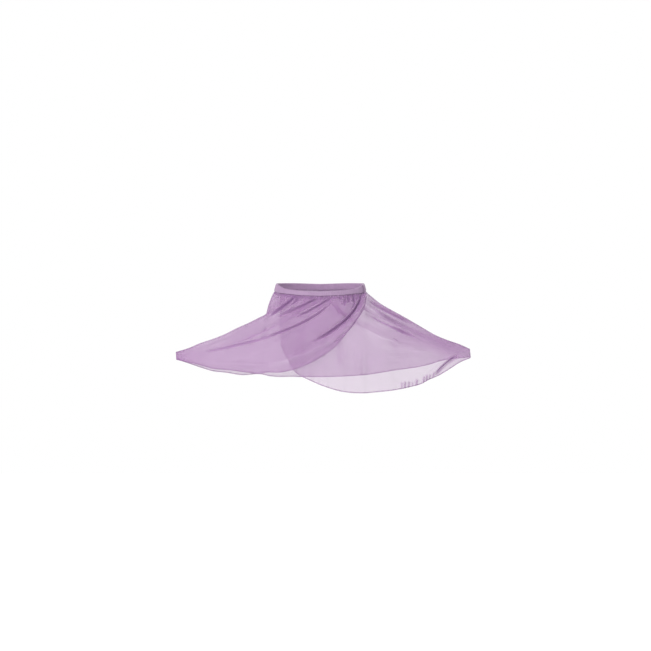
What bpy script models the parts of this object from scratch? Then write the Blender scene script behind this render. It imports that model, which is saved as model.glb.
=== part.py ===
import bpy
import numpy as np

# Ballet skirt: a gathered waistband and three sheer panels, held out level at both sides.
# X runs across the wearer, Y from front to back and Z up. The origin is the middle of the waist.
# Tables and sizes are millimetres, and the meshes are built in metres.
MM = 0.001

# Cloth
CLOTH_WALL = 1.2
SEAM_GAP = 0.3
LAYER_AT_WAIST = 1.9
LAYER_BELOW = 6.0
LAYER_RAMP = 40.0
LAYER_START = 28.0
LAYER_FROM = -119.0
LEAST_LAYER = 1.9

# Waist
WAIST_HALF_WIDTH = 102.0
WAIST_HALF_DEPTH = 74.0
WAIST_TAPER = 4.5
BAND_COLUMNS = 208
BAND_RUCHE = 0.35

# Gathers sewn into the band
GATHER_PITCH = 10.7
GATHER_RISE_AT_BAND = 0.6
GATHER_RISE = 1.0
GATHER_REACH = 26.0
BAND_LEVEL = 14.0

# Grid of each panel
RIDGE_COLUMNS = 18
PANEL_ROWS = 12
ROW_CROWDING = 1.25

# Edges of the waistband: degrees round from the front, top edge, bottom edge
BAND_EDGES = (
    (0, -2.4, -12.9),
    (24, -0.3, -11.2),
    (40, 1.5, -8.9),
    (52, 3.6, -7.2),
    (68, 9.6, -5.6),
    (90, 15.0, -1.0),
    (135, 15.0, -1.0),
    (180, 13.0, -3.0),
)

# Section of the waistband: offset out from the waist line, share of the height
BAND_SECTION = (
    (1.5, 0.00),
    (2.1, 0.22),
    (2.2, 0.60),
    (1.7, 1.00),
    (-0.3, 1.00),
    (-0.8, 0.75),
    (-0.8, 0.25),
    (-0.4, 0.00),
)

# Side seams, from the band out to the held corner: x, z
RIGHT_SEAM = (
    (-102, -1.3),
    (-106, -7),
    (-112, -20),
    (-115, -34),
    (-117, -48),
    (-124, -55.5),
    (-137, -62),
    (-164, -75.5),
    (-191, -87.5),
    (-218, -101),
    (-246, -112),
    (-273, -121),
    (-300, -132.5),
    (-328, -141),
)
LEFT_SEAM = (
    (102, -1.3),
    (107, -7),
    (120, -18),
    (136.5, -31),
    (162.5, -46),
    (189, -60.5),
    (215, -75.5),
    (238, -89),
    (259.5, -101.5),
    (289, -114),
    (314, -122.5),
    (340, -134),
)

# Depth of the hollow at the hem: x, front, back
HEM_DEPTH = (
    (-330, 1, 1),
    (-300, 14, 13),
    (-250, 34, 33),
    (-200, 52, 51),
    (-150, 68, 68),
    (-100, 81, 82),
    (-50, 89, 91),
    (0, 92, 95),
    (50, 90, 92),
    (100, 84, 84),
    (150, 71, 70),
    (200, 54, 53),
    (250, 36, 35),
    (300, 18, 17),
    (330, 5, 5),
    (343, 1, 1),
)

# Lowest line of the whole front, which both fronts are cut from: x, z
FRONT_FALL = (
    (-328, -162),
    (-260, -176),
    (-180, -188),
    (-120, -194),
    (-60, -204),
    (0, -216),
    (60, -228),
    (130, -229),
    (211, -219),
    (264, -199),
    (342, -157),
)

# Free edge and hem of the outer front, from the right corner to the left of the waist: x, z
OUTER_HEM = (
    (-327, -158),
    (-314, -160.5),
    (-287, -165),
    (-260, -171),
    (-242, -175.5),
    (-201, -178),
    (-162, -182),
    (-136, -184),
    (-114, -180.5),
    (-88, -180),
    (-59.5, -174),
    (-29, -163),
    (0, -147),
    (34, -122.5),
    (54.5, -98),
    (81, -64.5),
    (93, -40.5),
    (98.2, -24),
    (99.2, -14),
)

# Hem of the under front, from the foot of its free edge to the left corner: x, z
UNDER_HEM = (
    (-86, -118),
    (-80, -134),
    (-72, -148),
    (-59.5, -174),
    (-46, -185.5),
    (-29, -194),
    (2.5, -208),
    (43.5, -221),
    (65.5, -224.5),
    (101, -226),
    (130, -224),
    (177, -219.5),
    (211, -213),
    (224, -209.5),
    (242.5, -201),
    (264, -193),
    (283, -183),
    (299.5, -173.5),
    (318.5, -163),
    (342, -154),
)

# Hem of the back, from corner to corner: x, z
BACK_HEM = (
    (-327, -158),
    (-305, -166),
    (-274, -178),
    (-244, -188),
    (-214, -192),
    (-177, -198.5),
    (-147, -196.5),
    (-115, -203),
    (-60, -205),
    (3, -206),
    (60, -204),
    (114, -199),
    (137, -195),
    (168, -188.5),
    (219, -180),
    (252, -171.5),
    (275, -163.5),
    (342, -152),
)

# Largest folds: panel, start x and z, bend x and z, end x and z, half width, rise
FOLDS = (
    ("outer_front", 27, -24, -19, -82, -270, -141, 9, -4.0),
    ("outer_front", 40, -34, -6, -104, -262, -152, 10, 3.4),
    ("outer_front", -58, -14, -80, -37, -124, -66, 7, -3.8),
    ("outer_front", -4, -15, -60, -48, -240, -120, 7, -3.0),
    ("outer_front", 92, -15, 56, -96, -100, -157, 8, 3.4),
    ("outer_front", 86, -14, 72, -56, 36, -76, 7, -3.2),
    ("outer_front", -120, -80, -190, -112, -262, -128, 9, 3.6),
    ("under_front", 104, -24, 142, -52, 208, -80, 8, -4.2),
    ("under_front", 112, -44, 150, -68, 214, -94, 8, 3.4),
    ("under_front", 104, -60, 142, -82, 200, -106, 8, -4.0),
    ("under_front", 108, -106, 167, -116, 240, -128, 10, -3.4),
    ("under_front", 262, -184, 272, -168, 306, -150, 8, -3.6),
    ("under_front", 120, -150, 175, -160, 250, -158, 14, 4.0),
    ("back_panel", -18, -16, -66, -84, -268, -142, 10, -4.4),
    ("back_panel", -64, -10, -102, -50, -216, -106, 8, -3.6),
    ("back_panel", -44, -30, -90, -104, -250, -156, 11, 3.6),
    ("back_panel", 12, -18, 62, -90, 276, -138, 10, -4.4),
    ("back_panel", 58, -10, 100, -52, 216, -92, 8, -3.6),
    ("back_panel", 40, -34, 92, -112, 252, -146, 11, 3.6),
    ("back_panel", -6, -62, 2, -120, -4, -190, 15, 3.6),
)
FOLD_SAMPLES = 60
FOLD_FADE = 0.16
FOLD_ROOM = 0.4

# Soft waves that grow towards each hem: panel, waves across, rise
HEM_WAVES = (
    ("outer_front", 9, 1.8),
    ("under_front", 9, 2.8),
    ("back_panel", 12, 3.0),
)

# Fan of fall lines that carries each half of the skirt
FAN_LINES = 420
FAN_HEM_RIGHT = -122.0
FAN_HEM_LEFT = 110.0
FAN_SPREAD = 1.5
FALL_EASE = 2.2
RIDGE_ROUNDNESS = 0.75
LEAST_DEPTH = 0.8

# Cloth colours
SKIRT_LILAC = (0.56, 0.42, 0.60, 1.0)
BAND_LILAC = (0.60, 0.46, 0.63, 1.0)


def curve(stations, values, at):
    """Smooth curve through the points, with no overshoot at a turning point."""
    stations = np.asarray(stations, float)
    values = np.asarray(values, float)
    step = np.diff(stations)
    slope = np.diff(values) / step
    inner = np.where(slope[:-1] * slope[1:] > 0, (slope[:-1] + slope[1:]) / 2, 0)
    tangent = np.concatenate([slope[:1], inner, slope[-1:]])
    at = np.clip(at, stations[0], stations[-1])
    k = np.clip(np.searchsorted(stations, at) - 1, 0, len(stations) - 2)
    t = (at - stations[k]) / step[k]
    return (
        values[k] * (2 * t**3 - 3 * t**2 + 1)
        + values[k + 1] * (3 * t**2 - 2 * t**3)
        + tangent[k] * step[k] * (t**3 - 2 * t**2 + t)
        + tangent[k + 1] * step[k] * (t**3 - t**2)
    )


def line_points(rows, shares):
    """Points on the smooth line through a table's rows, at these shares of its length."""
    rows = np.asarray(rows, float)
    length = np.linalg.norm(np.diff(rows, axis=0), axis=1)
    along = np.concatenate([[0], np.cumsum(length)])
    at = np.asarray(shares) * along[-1]
    return np.stack([curve(along, rows[:, k], at) for k in range(rows.shape[1])], axis=1)


def smooth(t):
    """0 below 0, 1 above 1, and an S between."""
    t = np.clip(t, 0, 1)
    return t * t * (3 - 2 * t)


def band_edge(angle, column):
    """Height of the waistband's top (1) or bottom (2) edge at an angle round from the front."""
    rows = np.asarray(BAND_EDGES, float)
    return curve(rows[:, 0], rows[:, column], np.degrees(np.abs(angle)))


def waist_line(angles, side):
    """Top line of a panel where it is sewn under the band. Side is -1 for the front, 1 for the back."""
    height = band_edge(angles if side < 0 else np.pi - np.abs(angles), 2) - SEAM_GAP
    return np.stack(
        [
            WAIST_HALF_WIDTH * np.sin(angles),
            side * WAIST_HALF_DEPTH * np.cos(angles),
            height,
        ],
        axis=1,
    )


def even_angles(start, end, count):
    """Angles that stand at even lengths along the waist."""
    fine = np.linspace(start, end, 721)
    x, y = WAIST_HALF_WIDTH * np.sin(fine), WAIST_HALF_DEPTH * np.cos(fine)
    along = np.concatenate([[0], np.cumsum(np.hypot(np.diff(x), np.diff(y)))])
    return np.interp(np.linspace(0, along[-1], count), along, fine)


def seam_line(rows, shares):
    """Points of a side seam, which lies in the plane between front and back."""
    flat = line_points(rows, shares)
    return np.stack([flat[:, 0], np.zeros(len(flat)), flat[:, 1]], axis=1)


def fan(side):
    """Tops and feet of the fall lines of one half, from the right corner to the left one."""
    count = FAN_LINES // 3
    shares = np.arange(count) / count
    angles = even_angles(-np.pi / 2, np.pi / 2, count + 1)
    tops = np.concatenate(
        [
            seam_line(RIGHT_SEAM, 1 - shares),
            waist_line(angles, side),
            seam_line(LEFT_SEAM, shares + 1 / count),
        ]
    )
    low = np.asarray(FRONT_FALL if side < 0 else BACK_HEM, float)
    depth = np.asarray(HEM_DEPTH, float)
    x = np.concatenate(
        [
            FAN_HEM_RIGHT + (low[0, 0] - FAN_HEM_RIGHT) * (1 - shares) ** FAN_SPREAD,
            np.linspace(FAN_HEM_RIGHT, FAN_HEM_LEFT, count + 1),
            FAN_HEM_LEFT + (low[-1, 0] - FAN_HEM_LEFT) * (shares + 1 / count) ** FAN_SPREAD,
        ]
    )
    y = side * curve(depth[:, 0], depth[:, 1 if side < 0 else 2], x)
    feet = np.stack([x, y, curve(low[:, 0], low[:, 1], x)], axis=1)
    return tops, feet


def on_fan(tops, feet, place, share):
    """Points of the smooth half at a fan place and a share of the fall."""
    place = np.clip(place, 0, len(tops) - 1)
    k = np.minimum(place.astype(int), len(tops) - 2)
    part = (place - k)[..., None]
    top = tops[k] * (1 - part) + tops[k + 1] * part
    foot = feet[k] * (1 - part) + feet[k + 1] * part
    share = np.clip(share, 0, None)[..., None]
    point = top + (foot - top) * share
    eased = 1 - np.abs(1 - share) ** FALL_EASE
    off_seam = smooth(np.abs(top[..., 1:2]) / WAIST_HALF_DEPTH)
    eased = eased ** (RIDGE_ROUNDNESS + (1 - RIDGE_ROUNDNESS) * off_seam)
    point[..., 1:2] = top[..., 1:2] + (foot[..., 1:2] - top[..., 1:2]) * eased
    return point


def find_place(tops, feet, flat):
    """Fan place and share of the fall of points given by x and z."""
    top, run = tops[:, [0, 2]], (feet - tops)[:, [0, 2]]
    away = flat[:, None, :] - top[None]
    turn = run[None, :, 0] * away[..., 1] - run[None, :, 1] * away[..., 0]
    passed = (turn >= 0).sum(axis=1)
    k = np.clip(passed - 1, 0, len(tops) - 2)
    row = np.arange(len(flat))
    first, second = turn[row, k], turn[row, k + 1]
    part = np.clip(first / np.where(first == second, 1, first - second), 0, 1)
    start = top[k] * (1 - part)[:, None] + top[k + 1] * part[:, None]
    fall = run[k] * (1 - part)[:, None] + run[k + 1] * part[:, None]
    share = ((flat - start) * fall).sum(axis=1) / (fall**2).sum(axis=1)
    return k + part, np.clip(share, 0, None)


def fold_rise(name, tops, feet, base):
    """Rise of the panel's largest folds, kept small where front and back come together."""
    t = np.linspace(0, 1, FOLD_SAMPLES)[:, None]
    total = np.zeros(len(base))
    for panel, x0, z0, x1, z1, x2, z2, width, rise in FOLDS:
        if panel != name:
            continue
        ends = np.array([[x0, z0], [x1, z1], [x2, z2]], float)
        flat = (1 - t) ** 2 * ends[0] + 2 * t * (1 - t) * ends[1] + t**2 * ends[2]
        path = on_fan(tops, feet, *find_place(tops, feet, flat))
        gap = np.linalg.norm(base[:, None] - path[None], axis=2)
        at = t[gap.argmin(axis=1), 0]
        fade = smooth(at / FOLD_FADE) * smooth((1 - at) / FOLD_FADE)
        total += rise * fade * np.exp(-((gap.min(axis=1) / width) ** 2))
    return np.maximum(total, -FOLD_ROOM * (np.abs(base[:, 1]) - LEAST_DEPTH))


def layer_step(flat, drop, depth):
    """How far the outer front lies outside the smooth half: nothing at its side seam, then clear of the under front."""
    full = LAYER_AT_WAIST + (LAYER_BELOW - LAYER_AT_WAIST) * smooth(drop / LAYER_RAMP)
    start = smooth(depth / LAYER_START) * smooth((flat[:, 0] - LAYER_FROM) / LAYER_START)
    return full * np.where(flat[:, 0] < 0, start, 1)


def lay_panel(name, side, top, hem, first, last):
    """Middle points and outward directions of a panel, row by row from its top line to its hem.
    Columns first to last are sewn to the band."""
    tops, feet = fan(side)
    columns = len(top)
    down = np.linspace(0, 1, PANEL_ROWS + 1) ** ROW_CROWDING
    flat = top[None, :, [0, 2]] * (1 - down)[:, None, None] + hem[None] * down[:, None, None]
    flat = flat.reshape(-1, 2)
    place, share = find_place(tops, feet, flat)
    base = on_fan(tops, feet, place, share)
    across = on_fan(tops, feet, place + 0.5, share) - on_fan(tops, feet, place - 0.5, share)
    fall = on_fan(tops, feet, place, share + 0.02) - on_fan(tops, feet, place, share - 0.02)
    out = np.cross(fall, across) * -side
    out /= np.linalg.norm(out, axis=1)[:, None]

    column = np.tile(np.arange(columns), PANEL_ROWS + 1)
    under_band = (column >= first) & (column <= last)
    drop = np.linalg.norm(flat - np.tile(top[:, [0, 2]], (PANEL_ROWS + 1, 1)), axis=1)
    depth = np.abs(base[:, 1])

    # The cloth leaves the band level, and lies flat against the seam plane along a side seam
    in_seam = np.abs(top[:, 1]) < 0.01
    out[:, 2] *= np.where(under_band, smooth(drop / BAND_LEVEL), 1)
    out[:columns, 1] *= ~in_seam
    out /= np.linalg.norm(out, axis=1)[:, None]

    # Gathers, every second column, fade down the panel
    rise = GATHER_RISE_AT_BAND + (GATHER_RISE - GATHER_RISE_AT_BAND) * smooth(drop / 10)
    inward = -1 if name == "under_front" else 1
    tall = np.tile(np.linalg.norm(hem - top[:, [0, 2]], axis=1), PANEL_ROWS + 1)
    rise = rise * smooth(tall / GATHER_REACH) * np.exp(-((drop / GATHER_REACH) ** 2))
    lift = inward * rise * (column % 2) * under_band

    # Folds and the soft waves of the hem
    shape = fold_rise(name, tops, feet, base)
    for panel, waves, height in HEM_WAVES:
        if panel == name:
            swing = np.sin(2 * np.pi * waves * column / (columns - 1))
            shape += height * swing * np.repeat(down, columns) ** 2 * smooth(depth / 25)
    if name == "outer_front":
        step = layer_step(flat, drop, depth)
        least = np.minimum(step, LEAST_LAYER)
        shape = np.maximum(step + shape, least)
    if name == "under_front":
        free = smooth((flat[:, 0] - WAIST_HALF_WIDTH + 8) / 40)
        shape = np.minimum(shape, 0) * (1 - free) + shape * free
    middle = base + out * (shape + lift)[:, None]

    # Front and back stay clear of each other, and their seam edges stand face to face
    middle[columns:, 1] = side * np.maximum(side * middle[columns:, 1], LEAST_DEPTH)
    middle[:columns][in_seam] = top[in_seam] + [0, side * SEAM_GAP / 2, 0]
    return middle.reshape(-1, columns, 3), out.reshape(-1, columns, 3)


def make_object(name, points, faces, colour, roughness):
    """Closed mesh object with its own cloth material."""
    points = np.asarray(points) * MM
    faces = np.asarray(faces)
    a, b, c, d = (points[faces[:, k]] for k in range(4))
    volume = np.einsum("ij,ij->i", a, np.cross(b, c)) + np.einsum("ij,ij->i", a, np.cross(c, d))
    if volume.sum() < 0:
        faces = faces[:, ::-1]
    mesh = bpy.data.meshes.new(name)
    mesh.from_pydata(points.tolist(), [], faces.tolist())
    mesh.update()
    material = bpy.data.materials.new(name + "_cloth")
    material.use_nodes = True
    shader = material.node_tree.nodes["Principled BSDF"]
    shader.inputs["Base Color"].default_value = colour
    shader.inputs["Roughness"].default_value = roughness
    mesh.materials.append(material)
    made = bpy.data.objects.new(name, mesh)
    bpy.context.scene.collection.objects.link(made)


def thick_sheet(name, middle, out):
    """Panel of even thickness: two faces and the four edges between them."""
    rows, columns = middle.shape[:2]
    half = out * CLOTH_WALL / 2
    points = np.concatenate([(middle + half).reshape(-1, 3), (middle - half).reshape(-1, 3)])
    index = np.arange(rows * columns).reshape(rows, columns)
    a, b, c, d = index[:-1, :-1], index[:-1, 1:], index[1:, 1:], index[1:, :-1]
    outside = np.stack([a, b, c, d], axis=-1).reshape(-1, 4)
    inside = outside[:, ::-1] + rows * columns
    rim = np.concatenate([index[0], index[1:, -1], index[-1, -2::-1], index[-2:0:-1, 0]])
    behind = rim + rows * columns
    following, next_behind = np.roll(rim, -1), np.roll(behind, -1)
    edge = np.stack([following, rim, behind, next_behind], axis=1)
    make_object(name, points, np.concatenate([outside, inside, edge]), SKIRT_LILAC, 0.7)


def panel_columns(start, end):
    """Waist columns for a stretch of the band, two to a gather."""
    fine = even_angles(start, end, 2)
    x = WAIST_HALF_WIDTH * np.sin(np.linspace(fine[0], fine[1], 200))
    y = WAIST_HALF_DEPTH * np.cos(np.linspace(fine[0], fine[1], 200))
    length = np.hypot(np.diff(x), np.diff(y)).sum()
    gathers = round(length / GATHER_PITCH)
    return even_angles(start, end, 2 * gathers + 1)


def panel_top(side, start, end, has_right_seam, has_left_seam):
    """Top line of a panel from right to left, and its column numbers at the ends of the waist stretch."""
    steps = np.arange(1, RIDGE_COLUMNS + 1) / RIDGE_COLUMNS
    parts = [waist_line(panel_columns(start, end), side)]
    if has_right_seam:
        parts.insert(0, seam_line(RIGHT_SEAM, steps[::-1]))
    if has_left_seam:
        parts.append(seam_line(LEFT_SEAM, steps))
    top = np.concatenate(parts)
    first = RIDGE_COLUMNS if has_right_seam else 0
    last = len(top) - 1 - (RIDGE_COLUMNS if has_left_seam else 0)
    return top, first, last


def build_panel(name, side, start, end, seams, hem_rows, corner_shares):
    """One panel: its top line, its own hem under it, and the cloth between."""
    top, first, last = panel_top(side, start, end, *seams)
    column = np.arange(len(top))
    right, left = corner_shares
    shares = np.interp(column, [first, last], corner_shares)
    shares[:first] = right * (1 - (1 - column[:first] / max(first, 1)) ** FAN_SPREAD)
    beyond = (column[last + 1 :] - last) / RIDGE_COLUMNS
    shares[last + 1 :] = left + (1 - left) * beyond**FAN_SPREAD
    middle, out = lay_panel(name, side, top, line_points(hem_rows, shares), first, last)
    thick_sheet(name, middle, out)


def build_band():
    """Closed ring of gathered band, sections placed round the waist."""
    angles = np.linspace(0, 2 * np.pi, BAND_COLUMNS, endpoint=False)
    round_front = np.minimum(angles, 2 * np.pi - angles)
    high, low = band_edge(round_front, 1), band_edge(round_front, 2)
    section = np.asarray(BAND_SECTION, float)
    ruche = BAND_RUCHE * (np.arange(BAND_COLUMNS) % 2)
    points = []
    for offset, share in section:
        height = low + (high - low) * share
        taper = WAIST_TAPER * share
        outward = offset - taper + ruche * (offset > 0)
        normal = np.stack([np.sin(angles) / WAIST_HALF_WIDTH, -np.cos(angles) / WAIST_HALF_DEPTH], axis=1)
        normal /= np.linalg.norm(normal, axis=1)[:, None]
        ring = np.stack([WAIST_HALF_WIDTH * np.sin(angles), -WAIST_HALF_DEPTH * np.cos(angles)], axis=1)
        ring += normal * outward[:, None]
        points.append(np.column_stack([ring, height]))
    count = len(section)
    index = np.arange(count * BAND_COLUMNS).reshape(count, BAND_COLUMNS)
    below, beside = np.roll(index, -1, axis=0), np.roll(index, -1, axis=1)
    both = np.roll(below, -1, axis=1)
    faces = np.stack([index, beside, both, below], axis=-1).reshape(-1, 4)
    make_object("waistband", np.concatenate(points), faces, BAND_LILAC, 0.75)


for old in list(bpy.data.objects):
    bpy.data.objects.remove(old, do_unlink=True)

QUARTER = np.pi / 2
build_band()
build_panel("outer_front", -1, -QUARTER, np.radians(78), (True, False), OUTER_HEM, (0.405, 1))
build_panel("under_front", -1, np.radians(-63), QUARTER, (False, True), UNDER_HEM, (0, 0.485))
build_panel("back_panel", 1, -QUARTER, QUARTER, (True, True), BACK_HEM, (0.31, 0.655))
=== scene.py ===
import math
import bpy
import numpy as np
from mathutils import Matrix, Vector


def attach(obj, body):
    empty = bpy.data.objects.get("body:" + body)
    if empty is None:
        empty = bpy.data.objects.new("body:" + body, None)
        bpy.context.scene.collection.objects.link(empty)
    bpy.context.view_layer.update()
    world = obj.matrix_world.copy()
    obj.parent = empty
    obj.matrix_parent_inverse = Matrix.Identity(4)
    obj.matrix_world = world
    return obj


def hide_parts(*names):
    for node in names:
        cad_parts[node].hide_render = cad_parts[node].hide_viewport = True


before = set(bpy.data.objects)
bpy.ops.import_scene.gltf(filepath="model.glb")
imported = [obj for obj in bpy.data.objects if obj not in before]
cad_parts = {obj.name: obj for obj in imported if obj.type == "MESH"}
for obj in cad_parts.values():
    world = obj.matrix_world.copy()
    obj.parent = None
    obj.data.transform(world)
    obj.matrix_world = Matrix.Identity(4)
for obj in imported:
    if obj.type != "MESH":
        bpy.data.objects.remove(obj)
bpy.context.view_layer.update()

MM = 0.001

# Waistband
# A tube of the skirt's own lilac georgette, folded over soft elastic that draws it into fine
# upright ruches. It is one closed ring, joined at the wearer's right side, lower at the front.
WAIST_HALF_WIDTH = 102.0
WAIST_HALF_DEPTH = 74.0
WAIST_TAPER = 4.5
BAND_WALL_OUT = 2.1
BAND_WALL_IN = -0.7
BAND_HEIGHT = 16.0
BAND_RADIUS = 89.0  # mean of the oval waist
BAND_CLOTH = 0.3
RUCHES = 112
RUCHE_STEPS = 9
RUCHE_SIZES = (0.35, 1.0)
RUCHE_HEIGHT = 0.34
RUCHE_DRIFT = 0.35
RUCHE_SLANT = 0.5
EDGE_WOBBLE = 0.25
TOP_EDGE_FROM = 0.85  # share of the height
BAND_JOIN = 61  # degrees round from the front to the wearer's right
JOIN_MM_PER_DEGREE = 1.6
JOIN_RISE = 0.9
JOIN_EDGE = 1.2
JOIN_REACH = 6.0
GROOVE_DEPTH = 1.5
GROOVE_WIDTH = 1.5
GROOVE_BEFORE_JOIN = 1.6
BAND_EDGES = (  # degrees round from the front, top edge, bottom edge
    (0, -2.9, -12.2),
    (24, -0.9, -10.7),
    (40, 1.2, -8.6),
    (52, 3.5, -7.1),
    (68, 9.6, -5.6),
    (90, 15.0, -1.0),
    (135, 15.0, -1.0),
    (180, 13.0, -3.0),
)
BAND_FOLD = (  # way across the wall from inner 0 to outer 1, share of the height, share of the ruche
    (1.00, 0.00, 0.3),
    (1.05, 0.10, 0.8),
    (1.08, 0.30, 1.0),
    (1.08, 0.50, 1.0),
    (1.06, 0.70, 1.0),
    (1.00, 0.88, 0.9),
    (0.80, 0.97, 0.7),
    (0.50, 1.00, 0.5),
    (0.20, 0.97, 0.5),
    (0.00, 0.88, 0.4),
    (-0.04, 0.60, 0.4),
    (-0.04, 0.30, 0.4),
    (0.00, 0.04, 0.2),
)


def curve(stations, values, at):
    """Smooth curve through the points, with no overshoot at a turning point."""
    stations = np.asarray(stations, float)
    values = np.asarray(values, float)
    step = np.diff(stations)
    slope = np.diff(values) / step
    inner = np.where(slope[:-1] * slope[1:] > 0, (slope[:-1] + slope[1:]) / 2, 0)
    tangent = np.concatenate([slope[:1], inner, slope[-1:]])
    at = np.clip(at, stations[0], stations[-1])
    k = np.clip(np.searchsorted(stations, at) - 1, 0, len(stations) - 2)
    t = (at - stations[k]) / step[k]
    return (
        values[k] * (2 * t**3 - 3 * t**2 + 1)
        + values[k + 1] * (3 * t**2 - 2 * t**3)
        + tangent[k] * step[k] * (t**3 - 2 * t**2 + t)
        + tangent[k + 1] * step[k] * (t**3 - t**2)
    )


def smooth(t):
    """0 below 0, 1 above 1, and an S between."""
    t = np.clip(t, 0, 1)
    return t * t * (3 - 2 * t)


def band_edge(angle, column):
    """Height of the band's top (1) or bottom (2) edge at an angle round from the front."""
    rows = np.asarray(BAND_EDGES, float)
    return curve(rows[:, 0], rows[:, column], np.degrees(np.abs(angle)))


def uneven(seed, count, low, high, at):
    """Random sizes at even places, blended from one to the next."""
    sizes = np.random.default_rng(seed).uniform(low, high, count + 2)
    return np.interp(at, np.arange(count + 2), sizes)


def sew_mesh(name, points, faces, across=None, down=None, cover=None):
    """Mesh object from points in millimetres, with its cloth map in metres and its cover."""
    mesh = bpy.data.meshes.new(name)
    mesh.from_pydata((np.asarray(points) * MM).tolist(), [], [tuple(face) for face in faces])
    mesh.update()
    mesh.shade_smooth()
    made = bpy.data.objects.new(name, mesh)
    bpy.context.scene.collection.objects.link(made)
    if across is not None:
        corner = np.empty(len(mesh.loops), np.int32)
        mesh.loops.foreach_get("vertex_index", corner)
        flat = np.stack([across, down], axis=-1).reshape(-1, 2)[corner] * MM
        mesh.uv_layers.new(name="cloth").data.foreach_set("uv", flat.ravel())
    if cover is not None:
        layer = mesh.attributes.new("cover", "FLOAT", "POINT")
        layer.data.foreach_set("value", np.asarray(cover, np.float32).ravel())
    return made


def grid_faces(rows, columns, closed=False):
    """Quads of a grid of points, closed round its columns or open."""
    index = np.arange(rows * columns).reshape(rows, columns)
    if closed:
        index = np.concatenate([index, index[:, :1]], axis=1)
    a, b, c, d = index[:-1, :-1], index[:-1, 1:], index[1:, 1:], index[1:, :-1]
    return np.stack([a, d, c, b], axis=-1).reshape(-1, 4)


def pick(piece):
    """Select one piece alone."""
    for other in bpy.context.selected_objects:
        other.select_set(False)
    piece.select_set(True)
    bpy.context.view_layer.objects.active = piece


def give_wall(piece, thickness):
    """Thin wall round a sheet's own surface."""
    pick(piece)
    wall = piece.modifiers.new("wall", "SOLIDIFY")
    wall.thickness = thickness * MM
    wall.offset = 0
    bpy.ops.object.modifier_apply(modifier="wall")


class Yarn:
    """One value in a cloth material: sums and products with it add Math nodes there."""

    def __init__(self, tree, socket=None):
        self.tree, self.socket = tree, socket

    def node(self, kind, settings, values, output=0):
        made = self.tree.nodes.new(kind)
        for name, value in settings.items():
            if name == "stops":
                for place, (at, colour) in enumerate(value):
                    ramp = made.color_ramp.elements
                    stop = ramp[place] if place < 2 else ramp.new(at)
                    stop.position, stop.color = at, colour
            else:
                setattr(made, name, value)
        for name, value in values.items():
            if isinstance(value, Yarn):
                self.tree.links.new(value.socket, made.inputs[name])
            else:
                made.inputs[name].default_value = value
        return Yarn(self.tree, made.outputs[output])

    def sum(self, operation, first, second):
        return self.node("ShaderNodeMath", {"operation": operation}, {0: first, 1: second})

    def __add__(self, other):
        return self.sum("ADD", self, other)

    def __radd__(self, other):
        return self.sum("ADD", other, self)

    def __mul__(self, other):
        return self.sum("MULTIPLY", self, other)

    def __rmul__(self, other):
        return self.sum("MULTIPLY", other, self)


def new_cloth(name):
    """New material with an empty node tree: the material, the tree and its output."""
    material = bpy.data.materials.new(name)
    material.use_nodes = True
    tree = material.node_tree
    tree.nodes.clear()
    return material, Yarn(tree), tree.nodes.new("ShaderNodeOutputMaterial")


BAND_PALE = (0.350, 0.236, 0.368, 1)
BAND_DEEP = (0.290, 0.187, 0.308, 1)

band_cloth, dye, output = new_cloth("lilac_band_georgette")
weave_place = dye.node("ShaderNodeTexCoord", {}, {}, "Object")
grain = dye.node("ShaderNodeTexNoise", {}, {"Vector": weave_place, "Scale": 1400, "Detail": 2})
cloud = dye.node("ShaderNodeTexNoise", {}, {"Vector": weave_place, "Scale": 60, "Detail": 3})
band_colour = dye.node(
    "ShaderNodeValToRGB",
    {"stops": ((0.30, BAND_DEEP), (0.70, BAND_PALE))},
    {"Fac": cloud * 0.6 + grain * 0.4},
)
crepe = dye.node("ShaderNodeBump", {}, {"Height": grain, "Strength": 0.25, "Distance": 0.0002})
cloth_shader = dye.node(
    "ShaderNodeBsdfPrincipled",
    {},
    {
        "Base Color": band_colour,
        "Roughness": 0.72 + grain * 0.16,
        "Sheen Weight": 0.25,
        "Sheen Roughness": 0.4,
        "Normal": crepe,
    },
)
band_cloth.node_tree.links.new(cloth_shader.socket, output.inputs["Surface"])

band_angle = np.linspace(0, 2 * math.pi, RUCHES * RUCHE_STEPS, endpoint=False)
from_front = np.minimum(band_angle, 2 * math.pi - band_angle)
band_high, band_low = band_edge(from_front, 1), band_edge(from_front, 2)
ruche_at = np.arange(RUCHES * RUCHE_STEPS) / RUCHE_STEPS
ruche_size = uneven(11, RUCHES, *RUCHE_SIZES, ruche_at)
ruche_size = ruche_size * smooth(ruche_at / 2) * smooth((RUCHES - ruche_at) / 2)
ruche_drift = uneven(12, RUCHES // 4, -RUCHE_DRIFT, RUCHE_DRIFT, ruche_at / 4)

# The band's lapped end stands a little proud at the join, behind a narrow crease
past_join = (np.degrees(band_angle) - 360 + BAND_JOIN) * JOIN_MM_PER_DEGREE
lap = smooth((past_join + JOIN_EDGE / 2) / JOIN_EDGE)
lap *= np.exp(-((np.maximum(past_join, 0) / JOIN_REACH) ** 2))
crease = np.exp(-(((past_join + GROOVE_BEFORE_JOIN) / GROOVE_WIDTH) ** 2))
join = JOIN_RISE * lap - GROOVE_DEPTH * crease

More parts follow.
